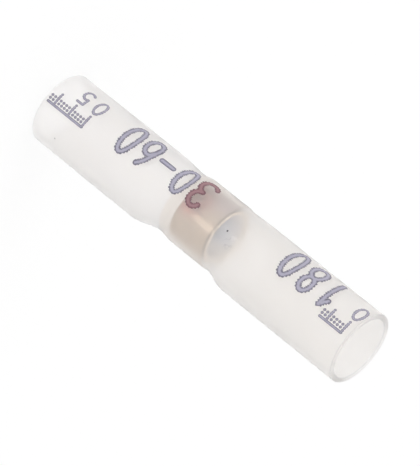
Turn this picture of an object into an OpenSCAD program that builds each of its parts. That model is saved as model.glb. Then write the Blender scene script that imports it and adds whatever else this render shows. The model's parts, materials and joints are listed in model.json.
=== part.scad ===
// Butt splice connector: a translucent heat-shrink sleeve drawn in round a short copper barrel.
// The sleeve stands on its far end at Z = 0, with its axis along Z and its near mouth at the top.
// The barrel lies against one side of the sleeve's bore, so that side of the sleeve stays nearly
// straight and the other side carries most of the waist. All lengths are in millimetres.

/* [Sleeve] */
// Length of the sleeve from cut end to cut end
sleeve_len = 26; // [22:0.5:40]
// Outer diameter of the sleeve's straight ends
sleeve_od = 4.95; // [4.75:0.05:7]
// Wall of the sleeve
sleeve_wall = 0.35; // [0.25:0.05:0.4]

/* [Barrel] */
// Outer diameter of the barrel
barrel_od = 3.85; // [3.2:0.05:3.85]
// Wall of the barrel
barrel_wall = 0.35; // [0.3:0.05:0.9]
// Length of the barrel
barrel_len = 2.9; // [2:0.1:5]
// Chamfer on the edges of the barrel's ends
barrel_chamfer = 0.05; // [0.02:0.01:0.1]
// Place of the barrel's middle, from the sleeve's middle towards the near mouth
barrel_at = 0.1; // [-1:0.05:1]

/* [Waist] */
// How much smaller in radius the sleeve is past the barrel's far end than over the barrel
far_neck_drop = 0.13; // [0.05:0.01:0.2]
// How much smaller in radius the sleeve is past the barrel's near end than over the barrel
near_neck_drop = 0.05; // [0.05:0.01:0.2]
// Distance from the barrel's far end to the narrowest place of the neck there
far_neck_reach = 0.85; // [0.2:0.05:1.2]
// Distance from the barrel's near end to the narrowest place of the neck there
near_neck_reach = 0.35; // [0.2:0.05:1.2]
// Length over which the sleeve widens from its far neck to its far straight end
far_shoulder_len = 2.3; // [1:0.1:3]
// Length over which the sleeve widens from its near neck to its near straight end
near_shoulder_len = 1.7; // [1:0.1:3]
// Room between the barrel and the sleeve that grips it
grip_clearance = 0.02; // [0.01:0.01:0.05]
// Direction of the side that the barrel lies against, in degrees from +X towards +Y
seat_angle = 180; // [0:5:355]

/* [Hidden] */
$fn = 96;

sleeve_colour = [0.91, 0.9, 0.89];
barrel_colour = [0.72, 0.54, 0.42];

// Facets round the waist, and rings in each of its curved stretches
waist_sides = 48;
rings_per_curve = 7;
// The waist runs this far into the straight ends, and lies this much under their surface there
weld = 0.1;
weld_depth = 0.01;
// A cut runs this far past the face that it opens
overshoot = 1;

sleeve_r = sleeve_od / 2;
bore_r = sleeve_r - sleeve_wall;
barrel_r = barrel_od / 2;
barrel_bore_r = barrel_r - barrel_wall;

// The sleeve's inner radius over the barrel: flat facets still clear the round barrel by the clearance
seat_r = (barrel_r + grip_clearance) / cos(180 / waist_sides);
// The barrel's axis is this far from the sleeve's axis, with the seat's wall level with the bore's
seat_shift = max(bore_r - seat_r, 0);

// Places along the sleeve's axis, from its far end
far_end = 0;
near_end = sleeve_len;
barrel_middle = sleeve_len / 2 + barrel_at;
barrel_far = barrel_middle - barrel_len / 2;
barrel_near = barrel_middle + barrel_len / 2;
near_neck = barrel_near + near_neck_reach;
far_neck = barrel_far - far_neck_reach;
near_shoulder = near_neck + near_shoulder_len;
far_shoulder = far_neck - far_shoulder_len;

// Stations of the waist: place along the axis, inner radius, shift of the axis
stations = [
    [far_shoulder, bore_r - weld_depth, 0],
    [far_neck, seat_r - far_neck_drop, seat_shift],
    [barrel_far, seat_r, seat_shift],
    [barrel_near, seat_r, seat_shift],
    [near_neck, seat_r - near_neck_drop, seat_shift],
    [near_shoulder, bore_r - weld_depth, 0]
];

// An ease from 0 to 1 that starts and ends level
function ease(t) = t * t * (3 - 2 * t);
// Place runs evenly between two stations, and radius and shift ease from one to the other
function between(a, b, t) = [
    a[0] + (b[0] - a[0]) * t,
    a[1] + (b[1] - a[1]) * ease(t),
    a[2] + (b[2] - a[2]) * ease(t)
];
function curved(a, b) = a[1] != b[1];
function steps(a, b) = curved(a, b) ? rings_per_curve : 1;

waist_rings = concat(
    [for (i = [0 : len(stations) - 2])
        let (a = stations[i], b = stations[i + 1], n = steps(a, b))
        for (k = [0 : n - 1]) between(a, b, k / n)],
    [stations[len(stations) - 1]]
);

// The waist as a solid, its radius grown by the given wall, with level ends that run into the straight ends
module waist_form(wall) {
    first = waist_rings[0];
    last = waist_rings[len(waist_rings) - 1];
    rings = concat([first - [weld, 0, 0]], waist_rings, [last + [weld, 0, 0]]);
    top = len(rings) - 1;
    points = [for (ring = rings) for (j = [0 : waist_sides - 1])
        let (angle = 360 * j / waist_sides, radius = ring[1] + wall)
        [radius * cos(angle) + ring[2], radius * sin(angle), ring[0]]];
    sides = [for (i = [0 : top - 1]) for (j = [0 : waist_sides - 1])
        let (k = (j + 1) % waist_sides)
        [i * waist_sides + j, (i + 1) * waist_sides + j,
         (i + 1) * waist_sides + k, i * waist_sides + k]];
    bottom_cap = [for (j = [0 : waist_sides - 1]) j];
    top_cap = [for (j = [waist_sides - 1 : -1 : 0]) top * waist_sides + j];
    polyhedron(points, concat([bottom_cap], sides, [top_cap]));
}

// A round bar along the axis, from one place to another
module bar(radius, from, to) {
    translate([0, 0, from]) cylinder(r = radius, h = to - from);
}

module insulating_sleeve() {
    color(sleeve_colour)
        rotate([0, 0, seat_angle])
            difference() {
                union() {
                    bar(sleeve_r, far_end, far_shoulder);
                    waist_form(sleeve_wall);
                    bar(sleeve_r, near_shoulder, near_end);
                }
                bar(bore_r, far_end - overshoot, far_shoulder);
                waist_form(0);
                bar(bore_r, near_shoulder, near_end + overshoot);
            }
}

module splice_barrel() {
    color(barrel_colour)
        rotate([0, 0, seat_angle])
            translate([seat_shift, 0, 0])
                rotate_extrude()
                    polygon([
                        [barrel_bore_r + barrel_chamfer, barrel_far],
                        [barrel_r - barrel_chamfer, barrel_far],
                        [barrel_r, barrel_far + barrel_chamfer],
                        [barrel_r, barrel_near - barrel_chamfer],
                        [barrel_r - barrel_chamfer, barrel_near],
                        [barrel_bore_r + barrel_chamfer, barrel_near],
                        [barrel_bore_r, barrel_near - barrel_chamfer],
                        [barrel_bore_r, barrel_far + barrel_chamfer]
                    ]);
}

insulating_sleeve();
splice_barrel();
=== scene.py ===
# %% [markdown]
# A heat-shrink butt splice
#
# The object is a milky heat-shrink sleeve, drawn in round a short copper barrel, with a line of ink-jet
# print along one side. This lesson builds it in Blender around its CAD solids: first the camera, then the
# sleeve, the barrel and the print, and last the finishes and the light. The CAD solids are the frame. They
# say where every piece goes, and nothing here moves them.

# %% Load the frame
import json
import math
import bpy
from mathutils import Matrix, Vector


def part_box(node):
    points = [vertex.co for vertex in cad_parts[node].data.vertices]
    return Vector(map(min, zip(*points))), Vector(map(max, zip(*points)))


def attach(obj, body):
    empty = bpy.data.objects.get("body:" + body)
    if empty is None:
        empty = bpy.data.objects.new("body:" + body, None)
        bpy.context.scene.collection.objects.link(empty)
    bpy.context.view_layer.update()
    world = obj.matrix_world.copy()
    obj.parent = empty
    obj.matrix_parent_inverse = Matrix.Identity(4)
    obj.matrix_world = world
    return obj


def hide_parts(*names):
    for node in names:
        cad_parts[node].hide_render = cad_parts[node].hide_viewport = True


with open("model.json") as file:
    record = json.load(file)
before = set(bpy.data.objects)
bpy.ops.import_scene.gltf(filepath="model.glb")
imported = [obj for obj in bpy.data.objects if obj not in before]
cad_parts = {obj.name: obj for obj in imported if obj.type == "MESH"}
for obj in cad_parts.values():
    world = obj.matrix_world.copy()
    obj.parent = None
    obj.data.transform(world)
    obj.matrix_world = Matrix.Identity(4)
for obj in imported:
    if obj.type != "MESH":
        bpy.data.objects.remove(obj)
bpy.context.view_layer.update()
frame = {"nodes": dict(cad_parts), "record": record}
print("CAD nodes:", sorted(frame["nodes"]))

# %% [markdown]
# Measures
#
# A new piece fits only if it takes its sizes from the solid that it stands for. The box of each solid and
# the stated bores give the diameters, the walls and the places along the axis. The part stands on its far
# end, so a place along the axis is simply a height. Blender works in metres, so lengths in millimetres are
# multiplied by MM.

# %% Measures taken from the frame
MM = 0.001
sleeve_low, sleeve_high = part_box("insulating_sleeve")
barrel_low, barrel_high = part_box("splice_barrel")
mounts = {mount["name"]: mount for mount in frame["record"]["mounts"]}

SLEEVE_LENGTH = sleeve_high[2] - sleeve_low[2]
SLEEVE_RADIUS = (sleeve_high[0] - sleeve_low[0]) / 2
WALL = SLEEVE_RADIUS - mounts["near_mouth"]["dims"]["r_mm"] * MM
FAR_SHOULDER = mounts["far_mouth"]["dims"]["length_mm"] * MM
NEAR_SHOULDER = SLEEVE_LENGTH - mounts["near_mouth"]["dims"]["length_mm"] * MM
MIDDLE = SLEEVE_LENGTH / 2

BARREL_RADIUS = (barrel_high[0] - barrel_low[0]) / 2
BARREL_BORE = mounts["barrel_bore"]["dims"]["r_mm"] * MM
BARREL_X = (barrel_high[0] + barrel_low[0]) / 2
BARREL_FAR = barrel_low[2]
BARREL_NEAR = barrel_high[2]
print(f"sleeve {SLEEVE_LENGTH / MM:.2f} x {2 * SLEEVE_RADIUS / MM:.2f} mm, wall {WALL / MM:.2f} mm")
print(f"barrel {2 * BARREL_RADIUS / MM:.2f} mm across, {BARREL_X / MM:.3f} mm off the sleeve's axis")

# %% [markdown]
# Camera
#
# The camera comes first, because every later choice is judged through it. The sleeve stands upright here,
# but the picture shows it slanting from the upper left to the lower right. A camera that is rolled about its
# own line of sight gives that slant without moving the part. The near mouth leans towards the camera, which
# is the same as a camera that looks down on it. A long lens from far away keeps the two ends nearly the same
# size, as in a catalogue picture.

# %% Camera
IMAGE_WIDTH = 420
IMAGE_HEIGHT = 466
SENSOR = 36
CAMERA_ELEVATION = math.radians(26.63)
CAMERA_ROLL = math.radians(128.9)
CAMERA_DISTANCE = 234.7 * MM
CLIP_SHARES = (0.1, 100)
FOCAL_PIXELS = 3868
PART_CENTRE_PIXEL = (206.7, 225.6)

back = Vector((0, -math.cos(CAMERA_ELEVATION), math.sin(CAMERA_ELEVATION)))
level_up = Vector((0, math.sin(CAMERA_ELEVATION), math.cos(CAMERA_ELEVATION)))
level_right = Vector((1, 0, 0))
right = level_right * math.cos(CAMERA_ROLL) + level_up * math.sin(CAMERA_ROLL)
up = back.cross(right)

metres_per_pixel = CAMERA_DISTANCE / FOCAL_PIXELS
aim = Vector((0, 0, MIDDLE))
aim += right * (IMAGE_WIDTH / 2 - PART_CENTRE_PIXEL[0]) * metres_per_pixel
aim -= up * (IMAGE_HEIGHT / 2 - PART_CENTRE_PIXEL[1]) * metres_per_pixel

bpy.ops.object.select_all(action="DESELECT")
bpy.ops.object.camera_add()
camera = bpy.context.object
camera.name = "camera"
turn = Matrix((right, up, back)).transposed().to_4x4()
camera.matrix_world = Matrix.Translation(aim + back * CAMERA_DISTANCE) @ turn
camera.data.sensor_width = SENSOR
camera.data.lens = FOCAL_PIXELS * SENSOR / max(IMAGE_WIDTH, IMAGE_HEIGHT)
camera.data.clip_start = CAMERA_DISTANCE * CLIP_SHARES[0]
camera.data.clip_end = CAMERA_DISTANCE * CLIP_SHARES[1]
bpy.context.scene.camera = camera
print(f"camera: {camera.data.lens:.0f} mm lens, {CAMERA_DISTANCE / MM:.0f} mm away")

# %% [markdown]
# The sleeve's outline
#
# Heat-shrink tube is straight where nothing fills it, and drawn in where it has gripped something. The
# barrel lies against one side of the bore, so the waist shows mostly on the other side. Past each end of the
# barrel the sleeve has shrunk a little further, into a neck, before it widens to its straight end. The
# outline is a short list of stations with a smooth ease between them, and a function that gives the radius
# and the sideways shift at any height. The print will use the same function to lie on the surface.

# %% The sleeve's outline
PRINT_ROOM = 0.015 * MM
GRIP_CLEARANCE = 0.02 * MM
FAR_NECK_DROP = 0.13 * MM
NEAR_NECK_DROP = 0.05 * MM
FAR_NECK_REACH = 0.85 * MM
NEAR_NECK_REACH = 0.35 * MM

FAR_NECK = BARREL_FAR - FAR_NECK_REACH
NEAR_NECK = BARREL_NEAR + NEAR_NECK_REACH
end_radius = SLEEVE_RADIUS - PRINT_ROOM
seat_radius = BARREL_RADIUS + GRIP_CLEARANCE + WALL
stations = [
    (0, end_radius, 0),
    (FAR_SHOULDER, end_radius, 0),
    (FAR_NECK, seat_radius - FAR_NECK_DROP, BARREL_X),
    (BARREL_FAR, seat_radius, BARREL_X),
    (BARREL_NEAR, seat_radius, BARREL_X),
    (NEAR_NECK, seat_radius - NEAR_NECK_DROP, BARREL_X),
    (NEAR_SHOULDER, end_radius, 0),
    (SLEEVE_LENGTH, end_radius, 0),
]


def ease(t):
    """From 0 to 1, level at both ends."""
    return t * t * (3 - 2 * t)


def outline_at(height):
    """The sleeve's outer radius, and its shift along X, at a height."""
    for (low, low_radius, low_shift), (high, high_radius, high_shift) in zip(stations, stations[1:]):
        if height <= high:
            share = ease((height - low) / (high - low))
            radius = low_radius + (high_radius - low_radius) * share
            return radius, low_shift + (high_shift - low_shift) * share
    return end_radius, 0


for height in (0, FAR_NECK, BARREL_FAR, NEAR_NECK, SLEEVE_LENGTH):
    print(f"at {height / MM:.2f} mm the sleeve is {2 * outline_at(height)[0] / MM:.2f} mm across")

# %% [markdown]
# Sleeve
#
# A tube could be a cylinder that is scaled in places, or an outline that is spun, but this one leaves its
# axis at the waist. So it grows as a modeller would pull it: a circle is extruded ring by ring, and each new
# ring is moved and resized to the outline. The rings are close together in the waist and far apart in the
# straight ends.

# %% Sleeve
SLEEVE_SIDES = 160
STRAIGHT_STEP = 0.8 * MM
WAIST_STEP = 0.1 * MM


def evenly(low, high, step):
    """Heights from low up to just under high, about a step apart."""
    count = max(1, round((high - low) / step))
    return [low + (high - low) * k / count for k in range(count)]


heights = evenly(0, FAR_SHOULDER, STRAIGHT_STEP)
heights += evenly(FAR_SHOULDER, NEAR_SHOULDER, WAIST_STEP)
heights += evenly(NEAR_SHOULDER, SLEEVE_LENGTH, STRAIGHT_STEP) + [SLEEVE_LENGTH]

bpy.ops.object.select_all(action="DESELECT")
bpy.ops.mesh.primitive_circle_add(vertices=SLEEVE_SIDES, radius=end_radius, location=(0, 0, 0))
sleeve = bpy.context.object
sleeve.name = "heat_shrink_sleeve"
bpy.ops.object.mode_set(mode="EDIT")
bpy.ops.mesh.select_all(action="SELECT")
for low, high in zip(heights, heights[1:]):
    low_radius, low_shift = outline_at(low)
    high_radius, high_shift = outline_at(high)
    growth = high_radius / low_radius
    step = (high_shift - low_shift, 0, high - low)
    bpy.ops.mesh.extrude_edges_move(TRANSFORM_OT_translate={"value": step})
    bpy.ops.transform.resize(value=(growth, growth, 1), center_override=(high_shift, 0, high))
bpy.ops.mesh.select_all(action="SELECT")
bpy.ops.mesh.normals_make_consistent(inside=False)
bpy.ops.object.mode_set(mode="OBJECT")
print(f"sleeve: {len(heights)} rings")

# %% [markdown]
# So far the tube is a skin. Its wall could be a second, inner tube that is bridged to this one, but Solidify
# gives it an even thickness in one step, towards the inside. A small Bevel then rounds the four cut edges,
# because a real edge is never quite sharp and catches a line of light.

# %% Wall of the sleeve
CUT_EDGE_ROUND = 0.05 * MM
CUT_EDGE_SEGMENTS = 3
SMOOTH_ANGLE = math.radians(40)


def apply_modifier(piece, kind, **settings):
    """Adds a modifier to a piece, sets it and applies it."""
    bpy.context.view_layer.objects.active = piece
    modifier = piece.modifiers.new(kind.title(), kind)
    for name, value in settings.items():
        setattr(modifier, name, value)
    bpy.ops.object.modifier_apply(modifier=modifier.name)


apply_modifier(sleeve, "SOLIDIFY", thickness=WALL, offset=-1, use_even_offset=True)
apply_modifier(
    sleeve,
    "BEVEL",
    width=CUT_EDGE_ROUND,
    segments=CUT_EDGE_SEGMENTS,
    limit_method="ANGLE",
    angle_limit=SMOOTH_ANGLE,
)
bpy.ops.object.shade_smooth_by_angle(angle=SMOOTH_ANGLE)
print(f"sleeve: {len(sleeve.data.polygons)} faces")

# %% [markdown]
# Barrel
#
# The barrel is a short cut of drawn copper tube. Two cylinders, one cut from the other, would give it, but a
# spun section has cleaner faces and the same round on every edge. The section is a small rectangle, whose
# corners the cutting tool has broken. They are rounded first, and the outline is then spun once round the
# barrel's axis. The flat face of the rectangle is taken away before the spin, so that it doesn't stay inside
# the ring as a wall.

# %% Barrel
BARREL_SIDES = 160
BARREL_EDGE_ROUND = 0.05 * MM
BARREL_EDGE_SEGMENTS = 4
MERGE_DISTANCE = 0.001 * MM

barrel_wall = BARREL_RADIUS - BARREL_BORE
barrel_length = BARREL_NEAR - BARREL_FAR
section_middle = (BARREL_X + BARREL_BORE + barrel_wall / 2, 0, (BARREL_NEAR + BARREL_FAR) / 2)

bpy.ops.object.select_all(action="DESELECT")
bpy.ops.mesh.primitive_plane_add(size=1, location=(0, 0, 0))
barrel = bpy.context.object
barrel.name = "copper_barrel"
bpy.ops.object.mode_set(mode="EDIT")
bpy.ops.mesh.select_all(action="SELECT")
bpy.ops.transform.resize(value=(barrel_wall, barrel_length, 1), center_override=(0, 0, 0))
bpy.ops.transform.rotate(value=math.pi / 2, orient_axis="X", center_override=(0, 0, 0))
bpy.ops.transform.translate(value=section_middle)
bpy.ops.mesh.bevel(offset=BARREL_EDGE_ROUND, segments=BARREL_EDGE_SEGMENTS, affect="VERTICES")
bpy.ops.mesh.delete(type="ONLY_FACE")
bpy.ops.mesh.select_all(action="SELECT")
bpy.ops.mesh.spin(
    steps=BARREL_SIDES, angle=2 * math.pi, center=(BARREL_X, 0, 0), axis=(0, 0, 1), use_auto_merge=True
)
bpy.ops.mesh.select_all(action="SELECT")
bpy.ops.mesh.remove_doubles(threshold=MERGE_DISTANCE)
bpy.ops.mesh.normals_make_consistent(inside=False)
bpy.ops.object.mode_set(mode="OBJECT")
bpy.ops.object.shade_smooth_by_angle(angle=SMOOTH_ANGLE)
print(f"barrel: {len(barrel.data.polygons)} faces")

# %% [markdown]
# Print
#
# The sleeve is marked by an ink-jet printer that runs along it, with plain numbers and two plain scales. The
# characters could come from a typeface, but an ink-jet has a thin, round hand of its own. So each one is a
# set of pen strokes, drawn flat: a stroke is a list of points, and its round parts are arcs. The points are
# shares of the character's width and height, so one drawing serves the tall numbers and the small ones.

# %% Characters as pen strokes
ARC_STEP = 15


def arc(middle, radii, start, end):
    """Points on an ellipse from one angle to another, in degrees."""
    count = max(2, round(abs(end - start) / ARC_STEP))
    angles = [math.radians(start + (end - start) * k / count) for k in range(count + 1)]
    return [(middle[0] + radii[0] * math.cos(a), middle[1] + radii[1] * math.sin(a)) for a in angles]


characters = {
    "0": [arc((0.5, 0.5), (0.5, 0.5), 90, 450)],
    "1": [[(0.2, 0.78), (0.58, 1), (0.58, 0)]],
    "3": [arc((0.45, 0.75), (0.5, 0.25), 150, -90), arc((0.45, 0.25), (0.55, 0.25), 90, -150)],
    "5": [[(0.9, 1), (0.15, 1), (0.1, 0.56)] + arc((0.45, 0.32), (0.52, 0.32), 130, -140)],
    "6": [arc((0.5, 0.3), (0.5, 0.3), 90, 450), [(0, 0.3)] + arc((0.9, 0.3), (0.9, 0.7), 165, 110)],
    "8": [arc((0.5, 0.76), (0.42, 0.24), 90, 450), arc((0.5, 0.26), (0.5, 0.26), 90, 450)],
    "-": [[(0.02, 0.46), (0.98, 0.46)]],
}


def line_of_digits(text, size, pitch, corner=(0, 0)):
    """The strokes of a line of digits of a width and height, from its lower left corner."""
    strokes = []
    for place, character in enumerate(text):
        left = corner[0] + place * pitch
        for stroke in characters[character]:
            strokes.append([(left + x * size[0], corner[1] + y * size[1]) for x, y in stroke])
    return strokes


print("characters:", " ".join(characters))

# %% [markdown]
# A scale is a base line with ticks below it, as on a ruler: every fifth tick is long and carries a number.
# The short ticks are rows of separate drops, as an ink-jet leaves where its drops don't run together. One
# drop is a stroke that is almost a point.

# %% Scales as pen strokes
TICK_PITCH = 0.25 * MM
TICKS_PER_NUMBER = 5
LONG_TICK = 0.85 * MM
DROPS_PER_TICK = 2
DROP_SPACING = 0.23 * MM
DROP_POINT = 0.02 * MM
SCALE_DIGIT = (0.62 * MM, 1.15 * MM)
SCALE_DIGIT_GAP = 0.3 * MM


def scale_of_ticks(ticks, numbered):
    """The strokes of a plain scale, from the start of its base line, with numbers at some of its ticks."""
    strokes = [[(0, 0), (ticks * TICK_PITCH, 0)]]
    for k in range(ticks + 1):
        x = k * TICK_PITCH
        if k % TICKS_PER_NUMBER == 0:
            strokes.append([(x, 0), (x, -LONG_TICK)])
        else:
            for drop in range(1, DROPS_PER_TICK + 1):
                y = -drop * DROP_SPACING
                strokes.append([(x, y), (x, y - DROP_POINT)])
    foot = -LONG_TICK - SCALE_DIGIT_GAP - SCALE_DIGIT[1]
    for k in numbered:
        strokes += line_of_digits(str(k), SCALE_DIGIT, 0, (k * TICK_PITCH - SCALE_DIGIT[0] / 2, foot))
    return strokes


print("strokes in a scale of ten ticks:", len(scale_of_ticks(10, [0, 5])))

# %% [markdown]
# No primitive has the scalloped edge that rows of ink drops leave, so a stroke becomes a strip of faces. Its
# width swells once for every drop where it runs round the sleeve, and stays even where it runs along the
# sleeve, because the printer lays its drops close together that way. Its ends are round.

# %% Strokes as strips of faces
DROP_PITCH = 0.17 * MM
DROP_SWELL = 0.25
DRIFT_PITCH = 0.53 * MM
DRIFT_SWELL = 0.1
STRIP_STEP = DROP_PITCH / 5
CAP_STEPS = 4
CAP_TIP = 0.15
ACROSS = (-1, -0.75, -0.4, 0, 0.4, 0.75, 1)


def walk(stroke):
    """Points an even step apart along a stroke, each with its direction, and whether the stroke is closed."""
    points = []
    for (x0, y0), (x1, y1) in zip(stroke, stroke[1:]):
        count = max(1, round(math.hypot(x1 - x0, y1 - y0) / STRIP_STEP))
        points += [(x0 + (x1 - x0) * k / count, y0 + (y1 - y0) * k / count) for k in range(count)]
    points.append(stroke[-1])
    closed = len(points) > 2 and math.dist(stroke[0], stroke[-1]) < STRIP_STEP / 2
    line = []
    for i, (x, y) in enumerate(points):
        before = points[i - 1] if i > 0 else points[-2 if closed else 0]
        after = points[i + 1] if i + 1 < len(points) else points[1 if closed else -1]
        line.append((x, y, math.atan2(after[1] - before[1], after[0] - before[0])))
    return line, closed


def strip(stroke, half_width):
    """Flat corners and faces of one stroke, with drops along its edges and round ends."""
    line, closed = walk(stroke)
    widths = []
    for i, (x, y, angle) in enumerate(line):
        run = 2 * math.pi * i * STRIP_STEP
        swell = DROP_SWELL * math.cos(run / DROP_PITCH) + DRIFT_SWELL * math.cos(run / DRIFT_PITCH)
        widths.append(half_width * (1 + swell * abs(math.sin(angle))))
    if not closed:
        for k in range(1, CAP_STEPS + 1):
            reach = half_width / CAP_STEPS
            x, y, angle = line[0]
            line.insert(0, (x - reach * math.cos(angle), y - reach * math.sin(angle), angle))
            x, y, angle = line[-1]
            line.append((x + reach * math.cos(angle), y + reach * math.sin(angle), angle))
            narrow = half_width * max(CAP_TIP, math.sqrt(1 - (k / CAP_STEPS) ** 2))
            widths = [narrow] + widths + [narrow]
    corners = []
    for (x, y, angle), width in zip(line, widths):
        aside, above = -width * math.sin(angle), width * math.cos(angle)
        corners += [(x + share * aside, y + share * above) for share in ACROSS]
    row = len(ACROSS)
    starts = [i * row + j for i in range(len(line) - 1) for j in range(row - 1)]
    return corners, [(low, low + row, low + row + 1, low + 1) for low in starts]


example_faces = strip(characters["1"][0], STRIP_STEP)[1]
print(f"a strip of {len(example_faces)} faces from a stroke of {len(characters['1'][0])} points")

# %% [markdown]
# Each strip is laid on the sleeve: its length runs along the axis and its height runs round the surface. The
# mesh keeps, for each corner, how near it is to the edge of the ink: 0 on the pen's line and 1 at the edge.
# Where two strokes of a character meet, the nearer pen line counts, so no edge runs across the joint. The
# finish will use this to draw the ink darker where it dried at its edge. Solidify gives the ink a thin body,
# so that it is a closed skin that lies on the plastic.

# %% Strips of ink on the sleeve
INK_TOP = 0.009 * MM
INK_BODY = 0.007 * MM


def nearness(x, y, strokes, half_width):
    """How far a point is from the nearest pen line, as a share of half the stroke's width."""
    nearest = SLEEVE_LENGTH
    for stroke in strokes:
        for (x0, y0), (x1, y1) in zip(stroke, stroke[1:]):
            run = (x1 - x0) ** 2 + (y1 - y0) ** 2
            share = ((x - x0) * (x1 - x0) + (y - y0) * (y1 - y0)) / run if run else 0
            share = min(1, max(0, share))
            nearest = min(nearest, math.hypot(x - x0 - share * (x1 - x0), y - y0 - share * (y1 - y0)))
    return nearest / half_width


def on_sleeve(height, turn, lift=0):
    """The point on the sleeve at a height and a turn from the front towards the barrel's side."""
    radius, shift = outline_at(height)
    return shift - (radius + lift) * math.sin(turn), -(radius + lift) * math.cos(turn), height


def lay_on_sleeve(name, strokes, start, foot, width):
    """Makes a piece of ink. It starts at a height, reads towards the far end, and has its foot at a turn."""
    corners, faces, edges = [], [], []
    for stroke in strokes:
        flat, quads = strip(stroke, width / 2)
        base = len(corners)
        corners += [on_sleeve(start - x, foot - y / end_radius, INK_TOP) for x, y in flat]
        edges += [nearness(x, y, strokes, width / 2) for x, y in flat]
        faces += [[base + corner for corner in quad] for quad in quads]
    mesh = bpy.data.meshes.new(name)
    mesh.from_pydata(corners, [], faces)
    mesh.attributes.new("ink_edge", "FLOAT", "POINT").data.foreach_set("value", edges)
    piece = bpy.data.objects.new(name, mesh)
    bpy.context.collection.objects.link(piece)
    apply_modifier(piece, "SOLIDIFY", thickness=INK_BODY, offset=-1)
    print(f"{name}: {len(strokes)} strokes, {len(piece.data.polygons)} faces")
    return piece


print(f"ink {INK_BODY / MM:.3f} mm thick")

# %% [markdown]
# The marks lie in one line along the sleeve: a number across the far half that runs out over the barrel, a
# shorter one near the near mouth, and a scale at each end. The tall digits go half round the side. Each mark
# is a piece of its own, so that it can be moved by itself.

# %% The marks
DIGIT = (0.92 * MM, 2.4 * MM)
DIGIT_STROKE = 0.37 * MM
FAR_DIGIT_PITCH = 1.5 * MM
NEAR_DIGIT_PITCH = 1.6 * MM
FAR_NUMBER_START = BARREL_FAR + 1.15 * MM
NEAR_NUMBER_START = SLEEVE_LENGTH - 2.3 * MM
FAR_NUMBER_FOOT = math.radians(60)
NEAR_NUMBER_FOOT = math.radians(68)
SCALE_STROKE = 0.17 * MM
FAR_SCALE_START = 3.3 * MM
NEAR_SCALE_START = SLEEVE_LENGTH - 0.5 * MM
FAR_SCALE_FOOT = math.radians(-3)
NEAR_SCALE_FOOT = math.radians(1)
FAR_SCALE_TICKS = 12
NEAR_SCALE_TICKS = 7

far_digits = line_of_digits("30-60", DIGIT, FAR_DIGIT_PITCH)
near_digits = line_of_digits("180", DIGIT, NEAR_DIGIT_PITCH)
far_ticks = scale_of_ticks(FAR_SCALE_TICKS, [0, TICKS_PER_NUMBER])
near_ticks = scale_of_ticks(NEAR_SCALE_TICKS, [0])
prints = [
    lay_on_sleeve("far_number", far_digits, FAR_NUMBER_START, FAR_NUMBER_FOOT, DIGIT_STROKE),
    lay_on_sleeve("near_number", near_digits, NEAR_NUMBER_START, NEAR_NUMBER_FOOT, DIGIT_STROKE),
    lay_on_sleeve("far_scale", far_ticks, FAR_SCALE_START, FAR_SCALE_FOOT, SCALE_STROKE),
    lay_on_sleeve("near_scale", near_ticks, NEAR_SCALE_START, NEAR_SCALE_FOOT, SCALE_STROKE),
]

# %% [markdown]
# Finishes
#
# Four helpers keep the materials short. One turns a colour as a painter writes it, in sRGB hex, into the
# linear numbers that the shader wants. One adds a node, sets it, and fills or links its inputs. One starts a
# material with an empty tree, its output and the piece's own coordinates, which stay with the piece wherever
# it goes. The last makes a soft round spot, for specks and dabs.

# %% Helpers for finishes
# A Mix node has sockets for numbers, vectors and colours under the same names, so its colours go by number
FACTOR = 0
UNDER = 6
OVER = 7
MIXED = 2


def linear(hex_colour):
    """A linear colour with alpha from an sRGB hex value such as E6E2DE, by the sRGB standard's curve."""
    channels = [int(hex_colour[i:i + 2], 16) / 255 for i in (0, 2, 4)]
    return [c / 12.92 if c <= 0.04045 else ((c + 0.055) / 1.055) ** 2.4 for c in channels] + [1]


def add_node(tree, kind, inputs=None, **settings):
    """Adds a node, sets its settings, and fills or links its inputs by name or number."""
    node = tree.nodes.new(kind)
    for name, value in settings.items():
        setattr(node, name, value)
    for name, value in (inputs or {}).items():
        if isinstance(value, bpy.types.NodeSocket):
            tree.links.new(value, node.inputs[name])
        else:
            node.inputs[name].default_value = value
    return node


def new_material(name):
    """A material with an empty node tree, and that tree, its output and the piece's own coordinates."""
    material = bpy.data.materials.new(name)
    material.use_nodes = True
    tree = material.node_tree
    tree.nodes.clear()
    output = tree.nodes.new("ShaderNodeOutputMaterial")
    return material, tree, output, add_node(tree, "ShaderNodeTexCoord").outputs["Object"]


def spot(tree, place, centre, solid, reach):
    """A factor that is 1 within a solid distance of a point and fades to 0 at its reach."""
    away = add_node(tree, "ShaderNodeVectorMath", {0: place, 1: centre}, operation="DISTANCE")
    fade = {"Value": away.outputs["Value"], "From Min": reach, "From Max": solid}
    return add_node(tree, "ShaderNodeMapRange", fade, interpolation_type="SMOOTHSTEP").outputs[0]


print("white card:", [round(channel, 2) for channel in linear("F2F2F2")])

# %% [markdown]
# Heat-shrink polyolefin
#
# The tube is cross-linked polyolefin, pulled from a round die and shrunk by heat. It is milky: light comes
# through, but what lies behind shows soft and pale. Its tone drifts over a few millimetres, and is a touch
# warmer in the near half. From the far neck to just past the barrel's near end it has a painted warm glow, a
# painted reflection of the copper's light in the wall. The colour is built up in layers: each layer is a mask
# that mixes one more tone over what is there.

# %% Heat-shrink polyolefin
# Cross-linked polyolefin from a die: a soft, even, milky glow with a dull gloss and faint lines along it.
MILK_PALE = "FCFBFB"
MILK_WARM = "F8F6F4"
CLOUD_WIDTH = 1.2 * MM
CLOUD_LENGTH = 5 * MM
CLOUD_DETAIL = 3
NEAR_WARMTH = 0.4
# Painted reflection: the copper's warm glow in the wall, painted into the plastic's colour
PAINTED_GLOW_COLOUR = "E8DBCC"
PAINTED_GLOW_LOW = FAR_NECK
PAINTED_GLOW_HIGH = BARREL_NEAR + 0.3 * MM
PAINTED_GLOW_FADE = 0.25 * MM
PAINTED_GLOW_STRENGTH = 0.3

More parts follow.
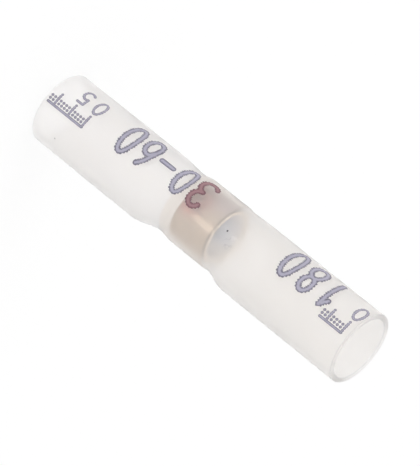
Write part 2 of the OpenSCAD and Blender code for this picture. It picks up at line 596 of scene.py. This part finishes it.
sleeve_plastic, tree, output, place = new_material("milky_polyolefin")
height = add_node(tree, "ShaderNodeSeparateXYZ", {0: place}).outputs["Z"]
cloud_scale = (1 / CLOUD_WIDTH, 1 / CLOUD_WIDTH, 1 / CLOUD_LENGTH)
cloud_place = add_node(tree, "ShaderNodeMapping", {"Vector": place, "Scale": cloud_scale}).outputs[0]
cloud = add_node(tree, "ShaderNodeTexNoise", {"Vector": cloud_place, "Scale": 1, "Detail": CLOUD_DETAIL})
drift = {"Value": height, "From Min": BARREL_NEAR, "From Max": NEAR_SHOULDER, "To Max": NEAR_WARMTH}
warmth = add_node(tree, "ShaderNodeMapRange", drift).outputs[0]
tone = add_node(tree, "ShaderNodeMath", {0: cloud.outputs["Fac"], 1: warmth}, operation="ADD").outputs[0]
tones = {FACTOR: tone, UNDER: linear(MILK_PALE), OVER: linear(MILK_WARM)}
milk = add_node(tree, "ShaderNodeMix", tones, data_type="RGBA").outputs[MIXED]

# The painted glow fades in at the far neck and out just past the barrel's near end
painted_glow = PAINTED_GLOW_STRENGTH
for start, end in ((PAINTED_GLOW_LOW, PAINTED_GLOW_LOW + PAINTED_GLOW_FADE), (PAINTED_GLOW_HIGH, PAINTED_GLOW_HIGH - PAINTED_GLOW_FADE)):
    fade = {"Value": height, "From Min": start, "From Max": end}
    side = add_node(tree, "ShaderNodeMapRange", fade, interpolation_type="SMOOTHSTEP").outputs[0]
    painted_glow = add_node(tree, "ShaderNodeMath", {0: side, 1: painted_glow}, operation="MULTIPLY").outputs[0]
tones = {FACTOR: painted_glow, UNDER: milk, OVER: linear(PAINTED_GLOW_COLOUR)}
milk = add_node(tree, "ShaderNodeMix", tones, data_type="RGBA").outputs[MIXED]
print(f"bloom from {PAINTED_GLOW_LOW / MM:.2f} to {PAINTED_GLOW_HIGH / MM:.2f} mm")

# %% [markdown]
# The plastic also carries a few small marks: a dark speck and a few fine scuffs just past the barrel, and a
# fainter speck near the far end. They lie in the surface, so they are drawn in its colour and not modelled.
# Each speck is a small spot round a point. The scuffs are thin curls: the narrow bands where a noise pattern
# crosses its middle value, kept only near one point.

# %% Specks and scuffs
SPECK = on_sleeve(BARREL_NEAR + 0.9 * MM, math.radians(10))
SPECK_COLOUR = "2C2C33"
SPECK_CORE = 0.4
FAINT_SPECK = on_sleeve(1.98 * MM, math.radians(-43.5))
FAINT_COLOUR = "A5A5A8"
FAINT_CORE = 0.2
SPECK_SIZE = 0.085 * MM
SCUFFS = on_sleeve(BARREL_NEAR + 1.45 * MM, 0)
SCUFF_COLOUR = "8F93A0"
SCUFF_SPREAD = 0.65 * MM
SCUFF_CURL = 0.45 * MM
SCUFF_DETAIL = 1
SCUFF_WIDTH = 0.04
SCUFF_STRENGTH = 0.45
NOISE_MIDDLE = 0.5

for centre, colour, core in ((SPECK, SPECK_COLOUR, SPECK_CORE), (FAINT_SPECK, FAINT_COLOUR, FAINT_CORE)):
    mask = spot(tree, place, centre, SPECK_SIZE * core, SPECK_SIZE)
    tones = {FACTOR: mask, UNDER: milk, OVER: linear(colour)}
    milk = add_node(tree, "ShaderNodeMix", tones, data_type="RGBA").outputs[MIXED]

pattern = {"Vector": place, "Scale": 1 / SCUFF_CURL, "Detail": SCUFF_DETAIL}
curls = add_node(tree, "ShaderNodeTexNoise", pattern).outputs["Fac"]
crossing = add_node(tree, "ShaderNodeMath", {0: curls, 1: NOISE_MIDDLE}, operation="SUBTRACT").outputs[0]
crossing = add_node(tree, "ShaderNodeMath", {0: crossing}, operation="ABSOLUTE").outputs[0]
band = {"Value": crossing, "From Min": SCUFF_WIDTH, "From Max": 0, "To Max": SCUFF_STRENGTH}
lines = add_node(tree, "ShaderNodeMapRange", band).outputs[0]
near_scuffs = spot(tree, place, SCUFFS, 0, SCUFF_SPREAD)
scuffs = add_node(tree, "ShaderNodeMath", {0: lines, 1: near_scuffs}, operation="MULTIPLY").outputs[0]
tones = {FACTOR: scuffs, UNDER: milk, OVER: linear(SCUFF_COLOUR)}
milk = add_node(tree, "ShaderNodeMix", tones, data_type="RGBA").outputs[MIXED]
print(f"speck at {SPECK[2] / MM:.2f} mm, scuffs at {SCUFFS[2] / MM:.2f} mm")

# %% [markdown]
# Each cut end is tinted grey: a fine line at the outer and the inner edge of the wall, and a fainter grey on
# the cut face between them. A line this fine shows only as a tint, so it isn't modelled. The tint is kept to
# the last bit of the tube's height, and it is stronger away from the middle of the wall.

# %% Cut edges
CUT_LINE = 0.07 * MM
CUT_COLOUR = "B9B9BE"
CUT_STRENGTH = 0.3
FACE_STRENGTH = 0.1
FLATTEN = (1, 1, 0)

from_middle = add_node(tree, "ShaderNodeMath", {0: height, 1: MIDDLE}, operation="SUBTRACT").outputs[0]
from_middle = add_node(tree, "ShaderNodeMath", {0: from_middle}, operation="ABSOLUTE").outputs[0]
last_bit = {"Value": from_middle, "From Min": MIDDLE - CUT_LINE, "From Max": MIDDLE - CUT_LINE / 2}
at_end = add_node(tree, "ShaderNodeMapRange", last_bit).outputs[0]
flat = add_node(tree, "ShaderNodeVectorMath", {0: place, 1: FLATTEN}, operation="MULTIPLY").outputs[0]
radius = add_node(tree, "ShaderNodeVectorMath", {0: flat}, operation="LENGTH").outputs["Value"]
core = {0: radius, 1: end_radius - WALL / 2}
from_core = add_node(tree, "ShaderNodeMath", core, operation="SUBTRACT").outputs[0]
from_core = add_node(tree, "ShaderNodeMath", {0: from_core}, operation="ABSOLUTE").outputs[0]
across_wall = {
    "Value": from_core,
    "From Min": WALL / 2 - CUT_LINE,
    "From Max": WALL / 2 - CUT_LINE / 2,
    "To Min": FACE_STRENGTH,
    "To Max": CUT_STRENGTH,
}
strength = add_node(tree, "ShaderNodeMapRange", across_wall).outputs[0]
cut = add_node(tree, "ShaderNodeMath", {0: at_end, 1: strength}, operation="MULTIPLY").outputs[0]
tones = {FACTOR: cut, UNDER: milk, OVER: linear(CUT_COLOUR)}
milk = add_node(tree, "ShaderNodeMix", tones, data_type="RGBA").outputs[MIXED]
print(f"cut lines {CUT_LINE / MM:.2f} mm wide")

# %% [markdown]
# The shader itself comes last. A cloudy volume inside the wall would be truer, but volumes are slow to
# render. So the plastic is partly a rough, see-through surface and partly plain white, and Transmission
# Weight shares out the two. A clear tube would have an index of 1.5. Here the index is lower, because the
# milky wall is full of tiny scatterers that hide most of the bend, and a rough surface at a high index loses
# light that the real wall passes on. The die's lines are a bump, too fine to see one by one, so they are
# drawn wide enough to break up the gloss.

# %% The plastic's shader
PLASTIC_ROUGHNESS = 0.36
PLASTIC_INDEX = 1.12
PLASTIC_CLEARNESS = 0.72
PLASTIC_GLOSS = 0.2
GLOSS_ROUGHNESS = 0.3
DIE_LINE_WIDTH = 0.15 * MM
DIE_LINE_LENGTH = 5 * MM
DIE_LINE_DEPTH = 0.002 * MM
DIE_LINE_DETAIL = 2

stretch = (1 / DIE_LINE_WIDTH, 1 / DIE_LINE_WIDTH, 1 / DIE_LINE_LENGTH)
along = add_node(tree, "ShaderNodeMapping", {"Vector": place, "Scale": stretch}).outputs[0]
die_lines = add_node(tree, "ShaderNodeTexNoise", {"Vector": along, "Scale": 1, "Detail": DIE_LINE_DETAIL})
relief = add_node(tree, "ShaderNodeBump", {"Height": die_lines.outputs["Fac"], "Distance": DIE_LINE_DEPTH})
plastic = add_node(
    tree,
    "ShaderNodeBsdfPrincipled",
    {
        "Base Color": milk,
        "Roughness": PLASTIC_ROUGHNESS,
        "IOR": PLASTIC_INDEX,
        "Transmission Weight": PLASTIC_CLEARNESS,
        "Coat Weight": PLASTIC_GLOSS,
        "Coat Roughness": GLOSS_ROUGHNESS,
        "Normal": relief.outputs[0],
    },
)
tree.links.new(plastic.outputs[0], output.inputs["Surface"])
sleeve.data.materials.append(sleeve_plastic)
print(f"{sleeve_plastic.name}: {len(tree.nodes)} nodes")

# %% [markdown]
# Drawn copper
#
# The barrel is cut from drawn copper tube. One even colour would look like paint, because bare copper is
# patchy with tarnish. The side that lies against the sleeve is painted a cooler tone, as painted shade on
# that side. The masks come from the height, the side and the distance from the barrel's axis, so a Mapping
# node first moves the coordinates to that axis.

# %% Drawn copper
# Drawn copper, turned on a lathe: satin and warm, with one line of shine along it and a painted highlight on
# its pale faces.
COPPER_BRIGHT = "DBC6B0"
COPPER_DULL = "D2C4B4"
TARNISH_SIZE = 0.9 * MM
TARNISH_DETAIL = 4
# Painted shade: a cool tone painted on the side that lies against the sleeve
SEAT_SIDE_SHADE = "CDC1CC"
SEAT_FROM = -0.2 * MM
SEAT_TO = -1.4 * MM

barrel_copper, tree, output, place = new_material("drawn_copper")
to_axis = {"Vector": place, "Location": (-BARREL_X, 0, -BARREL_FAR)}
centred = add_node(tree, "ShaderNodeMapping", to_axis).outputs[0]
axes = add_node(tree, "ShaderNodeSeparateXYZ", {0: centred}).outputs
sideways, height = axes["X"], axes["Z"]

pattern = {"Vector": place, "Scale": 1 / TARNISH_SIZE, "Detail": TARNISH_DETAIL}
tarnish = add_node(tree, "ShaderNodeTexNoise", pattern).outputs["Fac"]
tones = {FACTOR: tarnish, UNDER: linear(COPPER_BRIGHT), OVER: linear(COPPER_DULL)}
metal = add_node(tree, "ShaderNodeMix", tones, data_type="RGBA").outputs[MIXED]
fade = {"Value": sideways, "From Min": SEAT_FROM, "From Max": SEAT_TO}
shaded_side = add_node(tree, "ShaderNodeMapRange", fade, interpolation_type="SMOOTHSTEP").outputs[0]
tones = {FACTOR: shaded_side, UNDER: metal, OVER: linear(SEAT_SIDE_SHADE)}
metal = add_node(tree, "ShaderNodeMix", tones, data_type="RGBA").outputs[MIXED]
print(f"tarnish in patches about {TARNISH_SIZE / MM:.1f} mm wide")

# %% [markdown]
# A red dab marks the barrel's far end, towards the side that lies against the sleeve. It soaks in at its rim,
# so it is a soft spot, as the specks are. A darker line of painted shade runs along each rounded edge, where
# shade falls on the round. Each line is a narrow band of the height.

# %% Dab and painted edge shade
DAB_COLOUR = "B34242"
DAB_HEIGHT = 0.4 * MM
DAB_TURN = math.radians(24)
DAB_SOLID = 0.6 * MM
DAB_REACH = 1.75 * MM
# Painted shade: dark bands on the rounded edges at both ends of the barrel
FAR_SHADE_BAND = 0.12 * MM
FAR_EDGE_SHADE = "AFA190"
NEAR_SHADE_BAND = 0.13 * MM
NEAR_EDGE_SHADE = "695C4C"

dab_middle = (-BARREL_RADIUS * math.sin(DAB_TURN), -BARREL_RADIUS * math.cos(DAB_TURN), DAB_HEIGHT)
dab = spot(tree, centred, dab_middle, DAB_SOLID, DAB_REACH)
tones = {FACTOR: dab, UNDER: metal, OVER: linear(DAB_COLOUR)}
metal = add_node(tree, "ShaderNodeMix", tones, data_type="RGBA").outputs[MIXED]
for edge, half_width, colour in ((0, FAR_SHADE_BAND, FAR_EDGE_SHADE), (barrel_length, NEAR_SHADE_BAND, NEAR_EDGE_SHADE)):
    away = add_node(tree, "ShaderNodeMath", {0: height, 1: edge}, operation="SUBTRACT").outputs[0]
    away = add_node(tree, "ShaderNodeMath", {0: away}, operation="ABSOLUTE").outputs[0]
    band = {"Value": away, "From Min": half_width, "From Max": half_width / 2}
    mask = add_node(tree, "ShaderNodeMapRange", band).outputs[0]
    tones = {FACTOR: mask, UNDER: metal, OVER: linear(colour)}
    metal = add_node(tree, "ShaderNodeMix", tones, data_type="RGBA").outputs[MIXED]
print(f"red dab {DAB_HEIGHT / MM:.1f} mm from the barrel's far end")

# %% [markdown]
# The cut faces are painted pale, as a painted highlight. The bore is painted pale where light falls in at its
# mouths, and painted in shade deep inside, with a cool painted shade in the middle of its width. So its tone
# goes by two distances: how far a point is from the barrel's middle along the axis, and how far it is to one
# side.

# %% Bore of the barrel
# Painted highlight on the cut faces, painted light at the mouths, painted shade deep in the bore
FACE_HIGHLIGHT_TONE = "FAE4CA"
FACE_SKIN = 0.1 * MM
MOUTH_LIGHT_TONE = "F6F2EE"
BORE_WARM = "F6EDE4"
BORE_COOL_SHADE = "ACB4CC"
BORE_DEEP_SHADE = "6B625F"
BORE_SKIN = 0.04 * MM
SHADE_FROM = 1.45 * MM
SHADE_TO = 0.35 * MM
DEEP_SHADE_FROM = 0.3 * MM
COOL_AT = -0.25 * MM
COOL_SOLID = 0.5 * MM
COOL_REACH = 1.25 * MM

# The bore's painted light and shade, by depth from the middle and by side
away = add_node(tree, "ShaderNodeMath", {0: height, 1: barrel_length / 2}, operation="SUBTRACT").outputs[0]
away = add_node(tree, "ShaderNodeMath", {0: away}, operation="ABSOLUTE").outputs[0]
aside = add_node(tree, "ShaderNodeMath", {0: sideways, 1: COOL_AT}, operation="SUBTRACT").outputs[0]
aside = add_node(tree, "ShaderNodeMath", {0: aside}, operation="ABSOLUTE").outputs[0]
fade = {"Value": aside, "From Min": COOL_REACH, "From Max": COOL_SOLID}
cool = add_node(tree, "ShaderNodeMapRange", fade, interpolation_type="SMOOTHSTEP").outputs[0]
depth = {"Value": away, "From Min": SHADE_FROM, "From Max": SHADE_TO}
bore_shade = add_node(tree, "ShaderNodeMapRange", depth).outputs[0]
depth = {"Value": away, "From Min": DEEP_SHADE_FROM, "From Max": 0}
dark = add_node(tree, "ShaderNodeMapRange", depth).outputs[0]
dark = add_node(tree, "ShaderNodeMath", {0: dark, 1: cool}, operation="MULTIPLY").outputs[0]
tones = {FACTOR: cool, UNDER: linear(BORE_WARM), OVER: linear(BORE_COOL_SHADE)}
bore = add_node(tree, "ShaderNodeMix", tones, data_type="RGBA").outputs[MIXED]
tones = {FACTOR: bore_shade, UNDER: linear(MOUTH_LIGHT_TONE), OVER: bore}
bore = add_node(tree, "ShaderNodeMix", tones, data_type="RGBA").outputs[MIXED]
tones = {FACTOR: dark, UNDER: bore, OVER: linear(BORE_DEEP_SHADE)}
bore = add_node(tree, "ShaderNodeMix", tones, data_type="RGBA").outputs[MIXED]

flat = add_node(tree, "ShaderNodeVectorMath", {0: centred, 1: FLATTEN}, operation="MULTIPLY").outputs[0]
radius = add_node(tree, "ShaderNodeVectorMath", {0: flat}, operation="LENGTH").outputs["Value"]
skins = (
    (BARREL_RADIUS - FACE_SKIN / 2, BARREL_RADIUS - FACE_SKIN, linear(FACE_HIGHLIGHT_TONE)),
    (BARREL_BORE + BORE_SKIN, BARREL_BORE + BORE_SKIN / 2, bore),
)
for start, end, colour in skins:
    under = {"Value": radius, "From Min": start, "From Max": end}
    mask = add_node(tree, "ShaderNodeMapRange", under).outputs[0]
    tones = {FACTOR: mask, UNDER: metal, OVER: colour}
    metal = add_node(tree, "ShaderNodeMix", tones, data_type="RGBA").outputs[MIXED]
print(f"bore toned over {(SHADE_FROM - SHADE_TO) / MM:.2f} mm from each mouth")

# %% [markdown]
# Fine rings run round the barrel, as the lathe leaves them, so its shine is drawn out along its length: that
# is what Anisotropic does, turned a quarter by its rotation. The rings are a noise that changes only with the
# height, drawn coarser than they are so that they show a little. A metal keeps the default index, and what it
# reflects takes its colour.

# %% The copper's shader
COPPER_ROUGHNESS = 0.45
COPPER_STRETCH = 0.8
QUARTER_TURN = 0.25
RING_PITCH = 0.07 * MM
RING_DEPTH = 0.002 * MM
RING_DETAIL = 2

ring_stretch = (0, 0, 1 / RING_PITCH)
rings_place = add_node(tree, "ShaderNodeMapping", {"Vector": centred, "Scale": ring_stretch}).outputs[0]
rings = add_node(tree, "ShaderNodeTexNoise", {"Vector": rings_place, "Scale": 1, "Detail": RING_DETAIL})
relief = add_node(tree, "ShaderNodeBump", {"Height": rings.outputs["Fac"], "Distance": RING_DEPTH})
copper = add_node(
    tree,
    "ShaderNodeBsdfPrincipled",
    {
        "Base Color": metal,
        "Metallic": 1,
        "Roughness": COPPER_ROUGHNESS,
        "Anisotropic": COPPER_STRETCH,
        "Anisotropic Rotation": QUARTER_TURN,
        "Normal": relief.outputs[0],
    },
)
tree.links.new(copper.outputs[0], output.inputs["Surface"])
barrel.data.materials.append(barrel_copper)
print(f"{barrel_copper.name}: {len(tree.nodes)} nodes")

# %% [markdown]
# Ink
#
# The ink is a grey violet that dried thin in the middle of a stroke and thick at its edge. One flat colour
# would miss that dark line, so the edge numbers that the meshes carry drive it. A fine noise breaks the tone
# up, as on real print.

# %% Violet ink
# Solvent ink on polyolefin: matt and thin, pale inside each stroke, with a dark line where it dried.
INK_PALE = "AEABBD"
INK_DRIED = "6F6B7C"
INK_GRAIN = 0.12 * MM
INK_DETAIL = 2
EDGE_FROM = 0.3
EDGE_TO = 0.75

violet_ink, tree, output, place = new_material("violet_ink")
edge = add_node(tree, "ShaderNodeAttribute", attribute_name="ink_edge").outputs["Fac"]
pattern = {"Vector": place, "Scale": 1 / INK_GRAIN, "Detail": INK_DETAIL}
grain = add_node(tree, "ShaderNodeTexNoise", pattern).outputs["Fac"]
uneven = add_node(tree, "ShaderNodeMath", {0: edge, 1: grain}, operation="ADD").outputs[0]
uneven = add_node(tree, "ShaderNodeMath", {0: uneven, 1: NOISE_MIDDLE}, operation="SUBTRACT").outputs[0]
drying = {"Value": uneven, "From Min": EDGE_FROM, "From Max": EDGE_TO}
dried = add_node(tree, "ShaderNodeMapRange", drying).outputs[0]
tones = {FACTOR: dried, UNDER: linear(INK_PALE), OVER: linear(INK_DRIED)}
violet = add_node(tree, "ShaderNodeMix", tones, data_type="RGBA").outputs[MIXED]
print(f"ink grain {INK_GRAIN / MM:.2f} mm")

# %% [markdown]
# Over the barrel the thin ink takes on the colour of the copper and the red dab under it, so the digit there
# turns maroon: a painted reflection of the metal through the ink. See-through ink would do that by itself,
# but its tone over the milky plastic would be harder to set. So the ink has a second pair of tones, and the
# height says where it changes from one to the other.

# %% Maroon over the barrel
MAROON_PALE = "9D777C"
MAROON_DRIED = "74505A"
MAROON_FADE = 0.2 * MM
INK_ROUGHNESS = 0.5

tones = {FACTOR: dried, UNDER: linear(MAROON_PALE), OVER: linear(MAROON_DRIED)}
maroon = add_node(tree, "ShaderNodeMix", tones, data_type="RGBA").outputs[MIXED]
height = add_node(tree, "ShaderNodeSeparateXYZ", {0: place}).outputs["Z"]
fade = {"Value": height, "From Min": BARREL_FAR - MAROON_FADE, "From Max": BARREL_FAR}
past_far_end = add_node(tree, "ShaderNodeMapRange", fade).outputs[0]
up_to_near = add_node(tree, "ShaderNodeMath", {0: height, 1: BARREL_NEAR}, operation="LESS_THAN").outputs[0]
both_ends = {0: past_far_end, 1: up_to_near}
over_barrel = add_node(tree, "ShaderNodeMath", both_ends, operation="MULTIPLY").outputs[0]
tones = {FACTOR: over_barrel, UNDER: violet, OVER: maroon}
ink_tone = add_node(tree, "ShaderNodeMix", tones, data_type="RGBA").outputs[MIXED]
film = add_node(tree, "ShaderNodeBsdfPrincipled", {"Base Color": ink_tone, "Roughness": INK_ROUGHNESS})
tree.links.new(film.outputs[0], output.inputs["Surface"])
for piece in prints:
    piece.data.materials.append(violet_ink)
print(f"{violet_ink.name}: {len(tree.nodes)} nodes on {len(prints)} pieces")

# %% [markdown]
# Floor
#
# The part stands on white paper. Lit paper alone would render a little grey, so to the camera, and to rays
# that are mirrored or pass through the plastic, most of the paper's colour is a plain white glow. The rest
# stays real paper, which keeps the shadow under the part.

# %% Floor
FLOOR_SIZE = 2000 * MM
PAPER_GLOW = 0.8
WHITE = "FFFFFF"
SEEN_RAYS = ("Is Camera Ray", "Is Glossy Ray", "Is Transmission Ray")


def seen_ray(tree):
    """A factor that is 1 for rays that show a surface, and 0 for rays that only carry its light."""
    rays = add_node(tree, "ShaderNodeLightPath").outputs
    seen = rays[SEEN_RAYS[0]]
    for name in SEEN_RAYS[1:]:
        seen = add_node(tree, "ShaderNodeMath", {0: seen, 1: rays[name]}, operation="MAXIMUM").outputs[0]
    return seen


bpy.ops.object.select_all(action="DESELECT")
bpy.ops.mesh.primitive_plane_add(size=FLOOR_SIZE, location=(0, 0, 0))
floor = bpy.context.object
floor.name = "floor"

# Matt paper: an even white with no shine.
white_paper, tree, output, place = new_material("white_paper")
share = add_node(tree, "ShaderNodeMath", {0: seen_ray(tree), 1: PAPER_GLOW}, operation="MULTIPLY")
matt = add_node(tree, "ShaderNodeBsdfDiffuse", {"Color": linear(WHITE)})
glow = add_node(tree, "ShaderNodeEmission", {"Strength": 1})
both = add_node(tree, "ShaderNodeMixShader", {0: share.outputs[0], 1: matt.outputs[0], 2: glow.outputs[0]})
tree.links.new(both.outputs[0], output.inputs["Surface"])
floor.data.materials.append(white_paper)
print(f"floor: {FLOOR_SIZE / MM:.0f} mm square")

# %% [markdown]
# Light
#
# The picture was lit from all round, as in a light tent, so the world gives most of the light and shows as
# plain white. Light goes in and out of the milky wall many times, so it is allowed many bounces. The Standard
# view leaves colours as they are written.

# %% Light tent
WORLD_LIGHT = 0.95
LIGHT_BOUNCES = 24

world = bpy.data.worlds.new("light_tent")
bpy.context.scene.world = world
world.use_nodes = True
tree = world.node_tree
tree.nodes.clear()
output = tree.nodes.new("ShaderNodeOutputWorld")
strength = add_node(tree, "ShaderNodeMapRange", {"Value": seen_ray(tree), "To Min": WORLD_LIGHT, "To Max": 1})
sky = add_node(tree, "ShaderNodeBackground", {"Color": linear(WHITE), "Strength": strength.outputs[0]})
tree.links.new(sky.outputs[0], output.inputs["Surface"])
bpy.context.scene.view_settings.view_transform = "Standard"
for kind in ("max", "diffuse", "glossy", "transmission"):
    setattr(bpy.context.scene.cycles, f"{kind}_bounces", LIGHT_BOUNCES)
print(f"world: light {WORLD_LIGHT}, {LIGHT_BOUNCES} bounces")

# %% [markdown]
# Two softboxes give the light a direction. One in front draws the bright line on the barrel. It is there for
# shine alone, so it is left out of diffuse light. One high up, on the side that the barrel lies against,
# lifts that side of the sleeve.

# %% Softboxes
LAMP_DISTANCE = 350 * MM
FRONT_AZIMUTH = math.radians(11)
FRONT_ELEVATION = math.radians(12)
FRONT_SIZE = (120 * MM, 160 * MM)
FRONT_LEVEL = 0.36
SIDE_AZIMUTH = math.radians(-65)
SIDE_ELEVATION = math.radians(45)
SIDE_SIZE = (200 * MM, 200 * MM)
SIDE_LEVEL = 0.1


def add_softbox(name, azimuth, elevation, size, level):
    """Adds a lamp that faces the part. Its level is how bright it alone would make a white card there."""
    flat_reach = math.cos(elevation)
    towards = Vector((math.sin(azimuth) * flat_reach, -math.cos(azimuth) * flat_reach, math.sin(elevation)))
    bpy.ops.object.select_all(action="DESELECT")
    bpy.ops.object.light_add(type="AREA")
    lamp = bpy.context.object
    lamp.name = name
    lamp.data.shape = "RECTANGLE"
    lamp.data.size, lamp.data.size_y = size
    # The watts for that level: a lamp's light falls with the square of its distance
    lamp.data.energy = level * 4 * math.pi * LAMP_DISTANCE ** 2
    facing = towards.to_track_quat("Z", "Y").to_matrix().to_4x4()
    lamp.matrix_world = Matrix.Translation(Vector((0, 0, MIDDLE)) + towards * LAMP_DISTANCE) @ facing
    print(f"{name}: {lamp.data.energy:.2f} W")
    return lamp


front = add_softbox("front_softbox", FRONT_AZIMUTH, FRONT_ELEVATION, FRONT_SIZE, FRONT_LEVEL)
front.visible_diffuse = False
add_softbox("side_softbox", SIDE_AZIMUTH, SIDE_ELEVATION, SIDE_SIZE, SIDE_LEVEL)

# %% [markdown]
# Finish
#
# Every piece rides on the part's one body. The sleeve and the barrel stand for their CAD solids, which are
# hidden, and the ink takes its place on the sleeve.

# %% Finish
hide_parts("insulating_sleeve")
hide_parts("splice_barrel")
for piece in [sleeve, barrel] + prints:
    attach(piece, "root")
